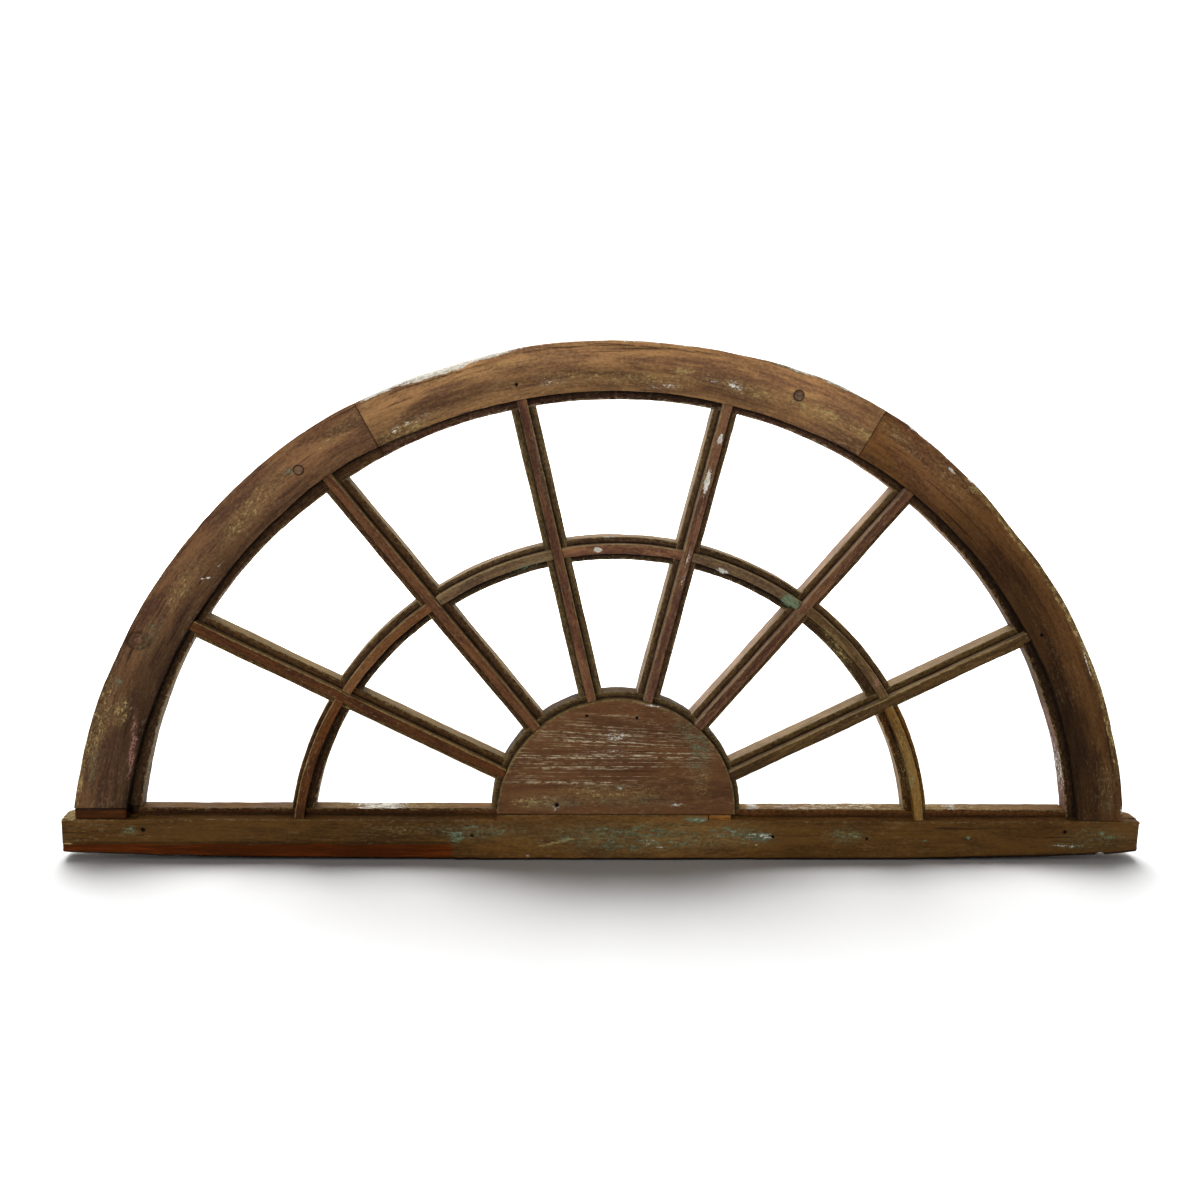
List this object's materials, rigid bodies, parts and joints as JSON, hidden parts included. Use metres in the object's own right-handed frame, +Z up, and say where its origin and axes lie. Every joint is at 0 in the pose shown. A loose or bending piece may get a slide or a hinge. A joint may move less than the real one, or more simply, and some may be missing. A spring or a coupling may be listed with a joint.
{
  "type": "sunburst fanlight sash",
  "caption": "Half-round timber fanlight sash without glass: an arch in three pieces on a straight rail, with a half-round hub, ray bars and a ring of curved bars.",
  "frame": {"origin": "middle of the rail's underside, halfway through the thickness", "axes": "+Z up, +X along the rail to the right as seen from the glazing side, -Y out of the glazing side"},
  "size_m": [1.22, 0.0356, 0.5803],
  "materials": {
    "old_timber": "matt",
    "patch_timber": "matt",
    "peg_timber": "satin"
  },
  "bodies": {
    "root": {"bottom_rail": "old_timber", "arch_left": "old_timber", "arch_crown": "old_timber", "arch_right": "old_timber", "hub_block": "old_timber", "ray_bar_1": "old_timber", "ray_bar_2": "old_timber", "ray_bar_3": "old_timber", "ray_bar_4": "old_timber", "ray_bar_5": "old_timber", "ray_bar_6": "old_timber", "ring_bar_1": "old_timber", "ring_bar_2": "old_timber", "ring_bar_3": "old_timber", "ring_bar_4": "old_timber", "ring_bar_5": "old_timber", "ring_bar_6": "old_timber", "ring_bar_7": "old_timber", "patch_block": "patch_timber", "foot_slip": "patch_timber", "arch_peg_left": "peg_timber", "arch_peg_right": "peg_timber"}
  },
  "joints": []
}
